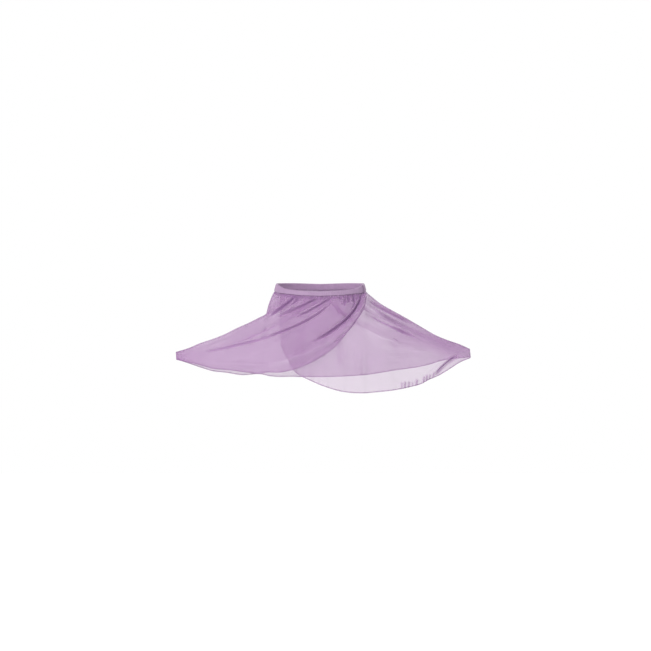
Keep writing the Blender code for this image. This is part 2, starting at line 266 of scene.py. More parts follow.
waist_x, waist_y = np.sin(band_angle), -np.cos(band_angle)
waist_ring = np.stack([WAIST_HALF_WIDTH * waist_x, WAIST_HALF_DEPTH * waist_y], axis=1)
waist_normal = np.stack([waist_x / WAIST_HALF_WIDTH, waist_y / WAIST_HALF_DEPTH], axis=1)
waist_normal /= np.linalg.norm(waist_normal, axis=1)[:, None]
band_points, band_across, band_down = [], [], []
for across_wall, share, strength in BAND_FOLD:
    height = band_low + (band_high - band_low) * share
    wave = np.cos(2 * math.pi * (ruche_at + ruche_drift * (1 + RUCHE_SLANT * share)))
    outward = BAND_WALL_IN + (BAND_WALL_OUT - BAND_WALL_IN) * across_wall - WAIST_TAPER * share
    outward = outward + strength * (RUCHE_HEIGHT * ruche_size * wave + join)
    ring = waist_ring + waist_normal * outward[:, None]
    edge_lift = EDGE_WOBBLE * strength * ruche_size * np.sin(2 * math.pi * (ruche_at + ruche_drift))
    band_points.append(np.column_stack([ring, height + edge_lift * (share > TOP_EDGE_FROM)]))
    band_across.append(band_angle * BAND_RADIUS)
    band_down.append(np.full(len(band_angle), BAND_HEIGHT * share))
waistband_cloth = sew_mesh(
    "waistband_cloth",
    np.concatenate(band_points),
    grid_faces(len(BAND_FOLD), len(band_angle), closed=True),
    np.array(band_across),
    np.array(band_down),
)
give_wall(waistband_cloth, BAND_CLOTH)
waistband_cloth.data.materials.append(band_cloth)
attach(waistband_cloth, "root")
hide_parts("waistband")

# Back panel
# One full back of sheer georgette, gathered under the band from side seam to side seam and drawn
# out to a point at each side. Its lower edge is a rolled hem, 2.4 mm wide, machine stitched.
QUARTER = math.pi / 2
SEAM_GAP = 0.3
CLOTH_THIN = 0.35
GATHER_PITCH = 8.6
GATHER_STEPS = 8
GATHER_SHIFT = 0.022  # radians along the waist
GATHER_LENGTH = (9, 34)
GATHER_SHORTEN = (0.7, 1)
GATHER_SLANT = (0.92, 1.08)
GATHER_TUCK = 3.0
GATHER_BEND = 1.4
GATHER_WIDTH = (1.9, 3.2)
GATHER_DEPTH = (0.5, 1.6)
GATHER_LEAN = 0.4
GATHER_CLOSE = (0.02, 0.14)
PLEAT_COLUMNS = 4.7
PLEAT_RISE = 0.7
PLEAT_SIZES = (0.2, 1.3)
PLEAT_PATCHES = 40
PLEAT_DRIFT = 0.3
PLEAT_DRIFT_COLUMNS = 11
PLEAT_START = 3.0
PLEAT_REACH = 8.0
PUFF_RISE = 2.8
PUFF_START = 10.0
PUFF_REACH = 60.0
SHORT_FALL = 40.0
LEVEL_DROP = 14.0  # the cloth leaves the band level, and has turned to its fall this far down
LEVEL_COLUMNS = 14
BAND_END_COLUMNS = 6
WAVE_SIZES = (0.15, 1.3)
WAVE_PATCHES = 24
WAVE_DRIFT = 0.012
WAVE_DRIFT_COLUMNS = 23
WAVE_GROWTH = 2.5
WAVE_DEPTH = 25.0  # depth of the hollow by which waves and puff have their full size
NORMAL_PASSES = 8
SEAM_COLUMNS = 130
BACK_ROWS = 84
FRONT_ROWS = 125
ROW_CROWDING = 1.25
TUCK_IN = 1.6
RIGHT_SEAM = (  # x, z from the band out to the held corner
    (-102, -1.3),
    (-106, -7),
    (-112, -20),
    (-115, -34),
    (-117, -48),
    (-124, -55.5),
    (-137, -62),
    (-164, -75.5),
    (-191, -87.5),
    (-218, -101),
    (-246, -112),
    (-273, -121),
    (-300, -132.5),
    (-328, -141),
)
LEFT_SEAM = (  # x, z from the band out to the held corner
    (102, -1.3),
    (107, -7),
    (120, -18),
    (136.5, -31),
    (162.5, -46),
    (189, -60.5),
    (215, -75.5),
    (238, -89),
    (259.5, -101.5),
    (289, -114),
    (314, -122.5),
    (340, -134),
)
HEM_DEPTH = (  # x, depth of the hollow in front, and behind
    (-330, 1, 1),
    (-300, 14, 13),
    (-250, 34, 33),
    (-200, 52, 51),
    (-150, 68, 68),
    (-100, 81, 82),
    (-50, 89, 91),
    (0, 92, 95),
    (50, 90, 92),
    (100, 84, 84),
    (150, 71, 70),
    (200, 54, 53),
    (250, 36, 35),
    (300, 18, 17),
    (330, 5, 5),
    (343, 1, 1),
)
BACK_HEM = (  # x, z
    (-327, -158),
    (-305, -166),
    (-274, -178),
    (-244, -188),
    (-214, -192),
    (-177, -198.5),
    (-147, -196.5),
    (-115, -203),
    (-60, -205),
    (3, -206),
    (60, -204),
    (114, -199),
    (137, -195),
    (168, -188.5),
    (219, -180),
    (252, -171.5),
    (275, -163.5),
    (342, -152),
)
BACK_FOLDS = (  # start x and z, bend x and z, end x and z, half width, rise, lean, drawn together
    (-18, -16, -66, -84, -268, -142, 9, -4.4, 1.0, 0.16),
    (-64, -10, -102, -50, -216, -106, 7, -4.0, 1.2, 0.18),
    (-44, -30, -90, -104, -250, -156, 10, 4.0, -1.0, -0.04),
    (-84, -12, -116, -62, -290, -136, 5, -2.6, 0.8, 0.14),
    (12, -18, 62, -90, 276, -138, 9, -4.4, 1.0, 0.14),
    (58, -10, 100, -52, 216, -92, 7, -4.0, -1.2, 0.18),
    (40, -34, 92, -112, 252, -146, 10, 4.0, 1.0, -0.04),
    (86, -12, 128, -62, 296, -130, 5, -2.6, 0.8, 0.14),
    (-6, -62, 2, -120, -4, -196, 13, 4.0, 0.8, 0),
    (-40, -70, -46, -130, -60, -200, 9, -3.0, 0.8, 0.1),
    (34, -66, 44, -130, 52, -198, 9, -3.2, -0.8, 0.1),
    (-150, -96, -166, -140, -200, -188, 9, 2.6, 0.8, 0),
    (150, -84, 170, -130, 206, -178, 9, 2.6, 0.8, 0),
    (-18, -12, -48, -60, -112, -92, 2.4, -2.2, 0, 0.14),
    (12, -14, 44, -62, 110, -90, 2.4, -2.2, 0, 0.14),
    (-50, -6, -66, -30, -104, -52, 2.2, -2.0, 0, 0.14),
    (46, -6, 64, -32, 106, -54, 2.2, -2.0, 0, 0.14),
    (-30, -6, -36, -34, -58, -62, 2.3, -1.8, 0, 0.10),
    (29, -8, 34, -30, 50, -66, 2.3, -1.8, 0, 0.11),
    (-72, -2, -84, -22, -104, -38, 2.1, -1.8, 0, 0.13),
    (71, -4, 84, -20, 106, -36, 2.1, -1.8, 0, 0.13),
    (-1, -8, 3, -34, -5, -64, 2.3, -1.6, 0, 0.09),
    (-104, 0, -150, -72, -350, -150, 16, 0, 0, -0.14),
    (104, 0, 170, -50, 360, -146, 20, 0, 0, 0.12),
    (150, -70, 210, -104, 350, -146, 16, 0, 0, 0.12),
)
BACK_LEAN = ((-102, -0.2), (-80, -0.8), (0, 0), (80, 0.8), (102, 0.6))  # x, sideways run per millimetre down
BACK_WAVES = (12, 2.6)  # waves across the hem, rise
BACK_HEM_SHARES = (0.31, 0.655)  # of the hem's length, at the ends of the gathered stretch
FAN_LINES = 420
WAIST_STEP = 1.98  # millimetres of waist from one fan line to the next
OVAL_MEAN = 1.2  # mean radius of the waist over its half depth
FAN_HEM_RIGHT = -122.0
FAN_HEM_LEFT = 110.0
FALL_EASE = 2.2
SEAM_ROUNDNESS = 0.75
LEAST_DEPTH = 0.8
FOLD_SAMPLES = 40
FOLD_FADE = 0.28
FOLD_ROOM = 0.4
FOLD_WIDENS = (0.75, 1.25)  # share of its half width at its start and at its end
FOLD_REACH = 4  # half widths
FOLD_TIP = 2
FOLD_SPARE = 0.2
CLOTH_SLACK = 0.5
LAYER_GIVE = 0.4
LAYERS_APART = 0.9  # at the band
LAYERS_APART_BELOW = 1.4
PAST_WRAP = 94.0  # x from which nothing lies over the under front
PAST_WRAP_RUN = 40.0
SHEER_AT_BAND = 0.07
SHEER_BAND_REACH = 26.0
SHEER_AT_CORNER = 0.13
SHEER_CORNER_REACH = 54.0
RIGHT_CORNER = -328.0
LEFT_CORNER = 341.0
SHEER_ON_PLEAT = 0.3
SHEER_ON_SLOPE = 2.2
STEEPEST = 1.4
COVER_RANGE = (0.1, 0.93)
CLOSEST = 0.97
MAP_FULLNESS = 1.15
HEM_OVER = 0.5
HEM_SIDES = 8
HEM_SWELL = 0.12
HEM_RIPPLE = 0.06
HEM_INSIDE_ROW = -5
STITCH_START = 2.0
STITCH_PITCH = 2.3
STITCH_TAPER = 0.6
STITCH_LONG = 1.6
STITCH_THICK = 0.32


def length_along(line):
    """Length from the start of a line to each of its points."""
    return np.concatenate([[0], np.cumsum(np.linalg.norm(np.diff(line, axis=0), axis=1))])


def line_points(rows, shares):
    """Points on the smooth line through a table's rows, at these shares of its length."""
    rows = np.asarray(rows, float)
    along = length_along(rows)
    at = np.asarray(shares) * along[-1]
    return np.stack([curve(along, rows[:, k], at) for k in range(rows.shape[1])], axis=1)


def even_angles(start, end, count):
    """Angles that stand at even lengths along the waist."""
    fine = np.linspace(start, end, 721)
    x, y = WAIST_HALF_WIDTH * np.sin(fine), WAIST_HALF_DEPTH * np.cos(fine)
    along = np.concatenate([[0], np.cumsum(np.hypot(np.diff(x), np.diff(y)))])
    return np.interp(np.linspace(0, along[-1], count), along, fine)


def waist_line(angles, side):
    """Top line of a panel under the band. Side is -1 for the front, 1 for the back."""
    height = band_edge(angles if side < 0 else math.pi - np.abs(angles), 2) - SEAM_GAP
    across, depth = WAIST_HALF_WIDTH * np.sin(angles), WAIST_HALF_DEPTH * np.cos(angles)
    return np.stack([across, side * depth, height], axis=1)


def seam_line(rows, shares):
    """Points of a side seam, which lies in the plane between front and back."""
    flat = line_points(rows, shares)
    return np.stack([flat[:, 0], np.zeros(len(flat)), flat[:, 1]], axis=1)


def fan(side, low):
    """Tops and feet of the fall lines of one half of the skirt, low being its lowest line."""
    count = FAN_LINES // 3
    shares = np.arange(count) / count
    angles = even_angles(-QUARTER, QUARTER, count + 1)
    tops = np.concatenate(
        [
            seam_line(RIGHT_SEAM, 1 - shares),
            waist_line(angles, side),
            seam_line(LEFT_SEAM, shares + 1 / count),
        ]
    )
    low, depth = np.asarray(low, float), np.asarray(HEM_DEPTH, float)
    thirds = [0, count, 2 * count, 3 * count]
    x = np.interp(np.arange(len(tops)), thirds, [low[0, 0], FAN_HEM_RIGHT, FAN_HEM_LEFT, low[-1, 0]])
    y = side * curve(depth[:, 0], depth[:, 1 if side < 0 else 2], x)
    return tops, np.stack([x, y, curve(low[:, 0], low[:, 1], x)], axis=1)


def on_fan(tops, feet, place, share):
    """Points of the smooth half at a fan place and a share of the fall."""
    place = np.clip(place, 0, len(tops) - 1)
    k = np.minimum(place.astype(int), len(tops) - 2)
    part = (place - k)[:, None]
    top = tops[k] * (1 - part) + tops[k + 1] * part
    foot = feet[k] * (1 - part) + feet[k + 1] * part
    share = np.clip(share, 0, None)[:, None]
    point = top + (foot - top) * share
    eased = 1 - np.abs(1 - share) ** FALL_EASE
    off_seam = smooth(np.abs(top[:, 1:2]) / WAIST_HALF_DEPTH)
    eased = eased ** (SEAM_ROUNDNESS + (1 - SEAM_ROUNDNESS) * off_seam)
    point[:, 1:2] = top[:, 1:2] + (foot[:, 1:2] - top[:, 1:2]) * eased
    return point


def find_place(tops, feet, flat):
    """Fan place and share of the fall of points given by x and z, a few thousand at a time."""
    top, run = tops[:, [0, 2]], (feet - tops)[:, [0, 2]]
    places, shares = [], []
    for part_of in np.array_split(flat, max(1, len(flat) // 3000)):
        turn = run[None, :, 0] * (part_of[:, None, 1] - top[None, :, 1])
        turn -= run[None, :, 1] * (part_of[:, None, 0] - top[None, :, 0])
        k = np.clip((turn >= 0).sum(axis=1) - 1, 0, len(tops) - 2)
        row = np.arange(len(part_of))
        first, second = turn[row, k], turn[row, k + 1]
        part = np.clip(first / np.where(first == second, 1, first - second), 0, 1)[:, None]
        start = top[k] * (1 - part) + top[k + 1] * part
        fall = run[k] * (1 - part) + run[k + 1] * part
        places.append(k + part[:, 0])
        shares.append(((part_of - start) * fall).sum(axis=1) / (fall**2).sum(axis=1))
    return np.concatenate(places), np.clip(np.concatenate(shares), 0, None)


def fold_paths(rows, tops, feet):
    """Each fold of a table as a line on the smooth half, with its width, rise, lean and draw."""
    t = np.linspace(0, 1, FOLD_SAMPLES)[:, None]
    paths = []
    for x0, z0, x1, z1, x2, z2, *shape in rows:
        ends = np.array([[x0, z0], [x1, z1], [x2, z2]], float)
        flat = (1 - t) ** 2 * ends[0] + 2 * t * (1 - t) * ends[1] + t**2 * ends[2]
        paths.append((on_fan(tops, feet, *find_place(tops, feet, flat)), *shape))
    return paths


def gather_count(start, end):
    """How many gathers a stretch of the waist holds."""
    return round(WAIST_HALF_DEPTH * OVAL_MEAN * (end - start) / GATHER_PITCH)


def gather_paths(start, end, lean, seed, tops, feet):
    """The valleys between the gathers, which run down from the band and a little sideways."""
    count = gather_count(start, end)
    chance = np.random.default_rng(seed)
    angles = even_angles(start, end, count + 2)[1:-1]
    angles = angles + chance.uniform(-GATHER_SHIFT, GATHER_SHIFT, count)
    lean = np.asarray(lean, float)
    t = np.linspace(0, 1, FOLD_SAMPLES)
    paths = []
    for place in waist_place(angles):
        top, foot = on_fan(tops, feet, np.array([place, place]), np.array([0, 1]))
        fall = np.linalg.norm(foot - top)
        slant = curve(lean[:, 0], lean[:, 1], top[:1])[0] * chance.uniform(*GATHER_SLANT)
        down = chance.uniform(*GATHER_LENGTH) * chance.uniform(*GATHER_SHORTEN) / math.hypot(1, slant)
        run = place + slant * down * t**GATHER_BEND / WAIST_STEP
        path = on_fan(tops, feet, run, (down * t - GATHER_TUCK) / fall)
        width, depth = chance.uniform(*GATHER_WIDTH), chance.uniform(*GATHER_DEPTH)
        tip = chance.uniform(-GATHER_LEAN, GATHER_LEAN)
        paths.append((path, width, -depth, tip, chance.uniform(*GATHER_CLOSE)))
    return paths


def fold_rise(paths, base):
    """Rise of a panel's folds, and how far they draw its cloth together. Lean tips a fold over."""
    total, drawn = np.zeros(len(base)), np.zeros(len(base))
    for path, width, rise, lean, close in paths:
        reach = FOLD_REACH * width
        low, high = path.min(axis=0) - reach, path.max(axis=0) + reach
        close_by = np.nonzero(((base > low) & (base < high)).all(axis=1))[0]
        cloth = base[close_by]
        step = np.diff(path, axis=0)
        place, gap = np.zeros(len(cloth)), np.full(len(cloth), 1e9)
        for k in range(FOLD_SAMPLES - 1):
            part = np.clip((cloth - path[k]) @ step[k] / max(step[k] @ step[k], 1e-9), 0, 1)
            away = ((cloth - path[k] - part[:, None] * step[k]) ** 2).sum(axis=1)
            place, gap = np.where(away < gap, k + part, place), np.minimum(away, gap)
        near = np.minimum(place.astype(int), FOLD_SAMPLES - 2)
        side = -np.sign(np.cross(step[near], cloth - path[near])[:, 1])
        at = place / (FOLD_SAMPLES - 1)
        across = np.sqrt(gap) / (width * np.interp(at, (0, 1), FOLD_WIDENS))
        fade = smooth(at / FOLD_FADE) * smooth((1 - at) / FOLD_FADE) * np.exp(-(across**2))
        total[close_by] += fade * (rise + FOLD_TIP * lean * side * across)
        drawn[close_by] += fade * close
    room = FOLD_ROOM * np.maximum(np.abs(base[:, 1]) - LEAST_DEPTH, 0)
    return np.clip(total, -room, room + FOLD_SPARE), drawn


def waist_place(angles):
    """Fan places of angles along the waist."""
    third = FAN_LINES // 3
    return np.interp(angles, even_angles(-QUARTER, QUARTER, third + 1), third + np.arange(third + 1))


def panel_top(start, end, has_right_seam, has_left_seam):
    """Fan places of a panel's columns along its top, and the first and last under the band."""
    third = FAN_LINES // 3
    parts = [waist_place(even_angles(start, end, gather_count(start, end) * GATHER_STEPS + 1))]
    if has_right_seam:
        parts.insert(0, np.linspace(0, third, SEAM_COLUMNS, endpoint=False))
    if has_left_seam:
        parts.append(np.linspace(2 * third, 3 * third, SEAM_COLUMNS + 1)[1:])
    top = np.concatenate(parts)
    first = SEAM_COLUMNS if has_right_seam else 0
    return top, first, len(top) - 1 - (SEAM_COLUMNS if has_left_seam else 0)


def hem_points(rows, panel, shares):
    """Where the columns of a panel meet its hem. The shares, of the hem's length, are those at the
    ends of the gathered stretch."""
    top, first, last = panel
    end = len(top) - 1
    return line_points(rows, np.interp(np.arange(len(top)), [0, first, last, end], [0, *shares, 1]))


def keep_above(value, least):
    """The value, eased so that it never falls below the least one."""
    return least + CLOTH_SLACK * np.logaddexp(0, (value - least) / CLOTH_SLACK)


def wall_cover(dense):
    """Cover of each of a shell's two walls, which together hide as much as the cloth does."""
    return 1 - np.sqrt(1 - dense)


def cell_size(grid):
    """Area of the cloth round each point of a grid."""
    return np.linalg.norm(np.cross(np.gradient(grid, axis=0), np.gradient(grid, axis=1)), axis=-1)


def even_out(grid):
    """The values of a grid, blended with those beside them."""
    wide = np.pad(grid, ((1, 1), (1, 1), (0, 0)), mode="edge")
    return (wide[:-2, 1:-1] + wide[2:, 1:-1] + wide[1:-1, :-2] + wide[1:-1, 2:] + 2 * grid) / 6


def lay_panel(name, side, rows, low, panel, hem, folds, lean, waves, sheer, seed, layer=None):
    """One panel of sheer cloth, from its top, as panel_top gives it, to its hem. Low is the lowest
    line of its half of the skirt. Layer gives how far it lies outside that half, or None. Gives
    the piece, its points and the outward directions at them."""
    top, first, last = panel
    tops, feet = fan(side, low)
    columns = len(top)
    down = np.linspace(0, 1, rows + 1) ** ROW_CROWDING
    foot, fall = find_place(tops, feet, hem)
    place = top * (1 - down)[:, None] + foot * down[:, None]
    base = on_fan(tops, feet, place.ravel(), (fall * down[:, None]).ravel())
    flat, top = base[:, [0, 2]], base[:columns]
    grid = base.reshape(-1, columns, 3)
    out = np.cross(np.gradient(grid, axis=0), np.gradient(grid, axis=1))
    out *= side * np.sign(out[:, :, 1].mean()) / np.maximum(np.linalg.norm(out, axis=2), 1e-9)[:, :, None]
    for _ in range(NORMAL_PASSES):
        out = even_out(out) + [0, 0.001 * side, 0]
        out /= np.linalg.norm(out, axis=2)[:, :, None]
    out = out.reshape(-1, 3)

    column = np.tile(np.arange(columns), rows + 1)
    drop = np.linalg.norm(base - np.tile(top, (rows + 1, 1)), axis=1)
    tall = np.tile(drop[-columns:], rows + 1)
    depth = np.abs(base[:, 1])
    from_right, from_left = column - first, last - column
    under_band = smooth(from_right / BAND_END_COLUMNS + 0.5) * smooth(from_left / BAND_END_COLUMNS + 0.5)
    in_seam = np.abs(top[:, 1]) < 0.01
    gathered = (from_right >= 0) & (from_left >= 0)
    near_band = smooth(from_right / LEVEL_COLUMNS + 1) * smooth(from_left / LEVEL_COLUMNS + 1)
    out[:, 2] *= 1 - near_band * (1 - smooth(drop / LEVEL_DROP))
    out[:columns, 1] *= ~in_seam
    out /= np.linalg.norm(out, axis=1)[:, None]

    # Folds and gathers, fine pleats at the stitching, and soft waves at the hem
    band_ends = top[[first, last]]
    start, end = np.arctan2(
        band_ends[:, 0] / WAIST_HALF_WIDTH, np.abs(band_ends[:, 1]) / WAIST_HALF_DEPTH
    )
    paths = gather_paths(start, end, lean, seed + 1, tops, feet)
    shape, drawn = fold_rise(paths + fold_paths(folds, tops, feet), base)
    drift = WAVE_DRIFT * np.sin(column / WAVE_DRIFT_COLUMNS + seed)
    swing = np.sin(2 * math.pi * waves[0] * (column / (columns - 1) + drift))
    swing *= uneven(seed + 3, WAVE_PATCHES, *WAVE_SIZES, column * WAVE_PATCHES / columns)
    shape += waves[1] * swing * np.repeat(down, columns) ** WAVE_GROWTH * smooth(depth / WAVE_DEPTH)
    drift = PLEAT_DRIFT * np.sin(column / PLEAT_DRIFT_COLUMNS + seed)
    pleat = np.cos(2 * math.pi * (column / PLEAT_COLUMNS + drift))
    bead = smooth(drop / PLEAT_START) * np.exp(-((drop / PLEAT_REACH) ** 2))
    bead *= under_band * smooth(tall / SHORT_FALL)
    pleat_size = uneven(seed + 4, PLEAT_PATCHES, *PLEAT_SIZES, column * PLEAT_PATCHES / columns)
    pleat = PLEAT_RISE * pleat * bead * pleat_size
    puff = PUFF_RISE * smooth(drop / PUFF_START) * np.exp(-((drop / PUFF_REACH) ** 2))
    puff *= smooth(tall / SHORT_FALL) * smooth(depth / WAVE_DEPTH)
    inward = -1 if layer is None and side < 0 else 1
    shape = shape + pleat + inward * puff
    step = np.zeros(len(base))
    if layer is not None:
        step = layer(flat, drop, depth)
        clear = LAYERS_APART + (LAYERS_APART_BELOW - LAYERS_APART) * smooth(drop / LEVEL_DROP)
        shape = keep_above(step + shape, np.minimum(step - LAYER_GIVE, clear))
    elif side < 0:
        free = smooth((flat[:, 0] - PAST_WRAP) / PAST_WRAP_RUN)
        shape = shape * free - keep_above(-shape, 0) * (1 - free)
    middle = base + out * shape[:, None]
    middle[columns:, 1] = side * np.maximum(side * middle[columns:, 1], LEAST_DEPTH)
    middle[:columns][in_seam] = top[in_seam] + [0, side * SEAM_GAP / 2, 0]
    middle[:columns][gathered[:columns]] += [0, 0, TUCK_IN]

    # Cloth covers more where it is drawn together or stands on edge: at the band, in the folds,
    # and towards the held corners. Where the cover is high, the material also darkens the colour as painted
    # shade
    corner = np.minimum(np.abs(flat[:, 0] - RIGHT_CORNER), np.abs(flat[:, 0] - LEFT_CORNER))
    dense = sheer + SHEER_AT_BAND * under_band * np.exp(-((drop / SHEER_BAND_REACH) ** 2))
    dense += drawn - SHEER_ON_PLEAT * pleat
    dense += SHEER_AT_CORNER * np.exp(-((corner / SHEER_CORNER_REACH) ** 2))
    smooth_cell = cell_size((base + out * step[:, None]).reshape(-1, columns, 3)).ravel()
    slope = cell_size(middle.reshape(-1, columns, 3)).ravel() / np.maximum(smooth_cell, 0.01)
    slope = even_out(np.clip(slope, 1, STEEPEST).reshape(-1, columns, 1)).ravel()
    dense = 1 - (1 - np.clip(dense, *COVER_RANGE)) ** slope**SHEER_ON_SLOPE
    middle = middle.reshape(-1, columns, 3)
    along = length_along(top) * MAP_FULLNESS
    piece = sew_mesh(
        name,
        middle.reshape(-1, 3),
        grid_faces(rows + 1, columns),
        np.tile(along, rows + 1),
        drop,
        wall_cover(np.clip(dense, 0, CLOSEST)),
    )
    give_wall(piece, CLOTH_THIN)
    return piece, middle, out.reshape(-1, columns, 3)


def edge_frame(line, inside, out):
    """Directions along an edge, into its cloth, and off the cloth's face."""
    along = np.gradient(line, axis=0)
    along /= np.linalg.norm(along, axis=1)[:, None]
    inward = inside - line
    inward -= along * (inward * along).sum(axis=1)[:, None]
    inward /= np.linalg.norm(inward, axis=1)[:, None]
    face = np.cross(along, inward)
    return along, inward, face * np.sign((face * out).sum(axis=1))[:, None]


def roll_hem(name, line, inside, out, width=2.4, thick=0.9, dense=0.62):
    """Narrow rolled hem along an edge: a flat tube over the cloth, closed at both ends."""
    _, inward, face = edge_frame(line, inside, out)
    length = length_along(line)
    roll = 1 + HEM_SWELL * np.sin(length / 3.1) * np.sin(length / 7.7) + HEM_RIPPLE * np.sin(length / 1.7)
    turns = np.linspace(0, 2 * math.pi, HEM_SIDES, endpoint=False)
    rings = []
    for turn in turns:
        deep = (width / 2 * (1 - math.cos(turn)) - HEM_OVER) * roll
        rings.append(line + inward * deep[:, None] + face * (thick / 2 * math.sin(turn) * roll)[:, None])
    points = np.stack(rings, axis=1)
    count = len(line)
    index = np.arange(count * HEM_SIDES).reshape(count, HEM_SIDES)
    beside = np.roll(index, -1, axis=1)
    faces = np.stack([index[:-1], index[1:], beside[1:], beside[:-1]], axis=-1).reshape(-1, 4).tolist()
    faces += [index[0].tolist(), index[-1][::-1].tolist()]
    piece = sew_mesh(
        name,
        points.reshape(-1, 3),
        faces,
        np.repeat(length, HEM_SIDES),
        np.tile(turns * width / math.pi, count),
        np.full(count * HEM_SIDES, wall_cover(dense)),
    )
    turn_out(piece)
    return piece


def sew_stitches(name, line, inside, out, inset=1.5, thick=1.15):
    """Row of machine stitches beside an edge, each a short flat thread that shows on both faces."""
    along, inward, face = edge_frame(line, inside, out)
    length = length_along(line)
    at = np.arange(STITCH_START, length[-1] - STITCH_START, STITCH_PITCH)
    spot, along, inward, face = (
        np.stack([np.interp(at, length, rows[:, k]) for k in range(3)], axis=1)
        for rows in (line + inward * inset, along, inward, face)
    )
    corners = []
    for end, height in ((-1, STITCH_TAPER), (0, 1), (1, STITCH_TAPER)):
        for edge in (-1, 1):
            for sheet_side in (-1, 1):
                corners.append(
                    spot
                    + along * (end * STITCH_LONG / 2)
                    + inward * (edge * STITCH_THICK / 2 * height)
                    + face * (sheet_side * thick / 2 * height)
                )
    points = np.stack(corners, axis=1).reshape(-1, 3)
    block = [(0, 1, 3, 2), (8, 10, 11, 9)]
    for k in (0, 4):
        block += [(k, k + 4, k + 5, k + 1), (k + 2, k + 3, k + 7, k + 6)]
        block += [(k, k + 2, k + 6, k + 4), (k + 1, k + 5, k + 7, k + 3)]
    faces = (np.arange(len(at))[:, None, None] * 12 + np.array(block)[None]).reshape(-1, 4)
    piece = sew_mesh(name, points, faces)
    turn_out(piece)
    piece.data.materials.append(lilac_thread)
    return piece


def turn_out(piece):
    """Faces of a closed piece turned to point outwards."""
    pick(piece)
    bpy.ops.object.mode_set(mode="EDIT")
    bpy.ops.mesh.select_all(action="SELECT")
    bpy.ops.mesh.normals_make_consistent(inside=False)
    bpy.ops.object.mode_set(mode="OBJECT")


lilac_thread, dye, output = new_cloth("lilac_thread")
twist_place = dye.node("ShaderNodeTexCoord", {}, {}, "Object")
twist = dye.node("ShaderNodeTexNoise", {}, {"Vector": twist_place, "Scale": 2600, "Detail": 1})
thread_colour = dye.node(
    "ShaderNodeValToRGB",
    {"stops": ((0.35, (0.32, 0.20, 0.36, 1)), (0.65, (0.50, 0.34, 0.54, 1)))},
    {"Fac": twist},
)
thread_shader = dye.node(
    "ShaderNodeBsdfPrincipled",
    {},
    {"Base Color": thread_colour, "Roughness": 0.45 + twist * 0.2, "Sheen Weight": 0.1},
)
lilac_thread.node_tree.links.new(thread_shader.socket, output.inputs["Surface"])

SKIRT_PALE = (0.440, 0.252, 0.466, 1)
SKIRT_DEEP = (0.380, 0.206, 0.408, 1)

skirt_cloth, dye, output = new_cloth("lilac_sheer_georgette")
weave_place = dye.node("ShaderNodeTexCoord", {}, {}, "Object")
grain = dye.node("ShaderNodeTexNoise", {}, {"Vector": weave_place, "Scale": 1600, "Detail": 2})
cloud = dye.node("ShaderNodeTexNoise", {}, {"Vector": weave_place, "Scale": 38, "Detail": 3})
cloth_map = dye.node("ShaderNodeUVMap", {"uv_map": "cloth"}, {})
warp_place = dye.node("ShaderNodeMapping", {}, {"Vector": cloth_map, "Scale": (2200, 160, 1)})
weft_place = dye.node("ShaderNodeMapping", {}, {"Vector": cloth_map, "Scale": (160, 2200, 1)})
warp = dye.node("ShaderNodeTexNoise", {}, {"Vector": warp_place, "Scale": 1, "Detail": 1})
weft = dye.node("ShaderNodeTexNoise", {}, {"Vector": weft_place, "Scale": 1, "Detail": 1})
cover = dye.node("ShaderNodeAttribute", {"attribute_name": "cover"}, {}, "Fac")
skirt_colour = dye.node(
    "ShaderNodeValToRGB",
    {"stops": ((0.30, SKIRT_DEEP), (0.70, SKIRT_PALE))},
    {"Fac": cloud * 0.86 + grain * 0.14},
)
# Painted shade: where the cover is high, the base colour is multiplied towards a greyed lilac. This makes
# folds, the gathers under the band and the held corners look shaded.
fold_shade = dye.node(
    "ShaderNodeValToRGB",
    {"stops": ((0.46, (1, 1, 1, 1)), (0.84, (0.62, 0.56, 0.68, 1)))},
    {"Fac": cover},
)
fold_shaded_colour = dye.node(
    "ShaderNodeVectorMath", {"operation": "MULTIPLY"}, {0: skirt_colour, 1: fold_shade}
)
crepe = dye.node(
    "ShaderNodeBump",
    {},
    {"Height": grain + warp * 0.6 + weft * 0.6, "Strength": 0.12, "Distance": 0.0002},
)
lit_cloth = dye.node(
    "ShaderNodeBsdfPrincipled",
    {},
    {
        "Base Color": fold_shaded_colour,
        "Roughness": 0.7 + grain * 0.2,
        "Sheen Weight": 0.2,
        "Sheen Roughness": 0.4,
        "Normal": crepe,
    },
)
through_cloth = dye.node("ShaderNodeBsdfTranslucent", {}, {"Color": (0.40, 0.225, 0.43, 1)})
cloth_shader = dye.node("ShaderNodeMixShader", {}, {"Fac": 0.28, 1: lit_cloth, 2: through_cloth})
gaps = dye.node("ShaderNodeBsdfTransparent", {}, {})
sheer_shader = dye.node(
    "ShaderNodeMixShader",
    {},
    {"Fac": cover * (0.82 + grain * 0.12 + warp * 0.12 + weft * 0.12), 1: gaps, 2: cloth_shader},
)
skirt_cloth.node_tree.links.new(sheer_shader.socket, output.inputs["Surface"])

back_top = panel_top(-QUARTER, QUARTER, True, True)
back_cloth, back_middle, back_out = lay_panel(
    "back_cloth",
    1,
    BACK_ROWS,
    BACK_HEM,
    back_top,
    hem_points(BACK_HEM, back_top, BACK_HEM_SHARES),
    BACK_FOLDS,
    BACK_LEAN,
    BACK_WAVES,
    sheer=0.49,
    seed=40,
)
back_edge, back_inside = back_middle[-1], back_middle[HEM_INSIDE_ROW]
back_hem = roll_hem("back_hem", back_edge, back_inside, back_out[-1])
back_stitches = sew_stitches("back_hem_stitches", back_edge, back_inside, back_out[-1])
for piece in (back_cloth, back_hem):
    piece.data.materials.append(skirt_cloth)
for piece in (back_cloth, back_hem, back_stitches):
    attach(piece, "root")
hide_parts("back_panel")

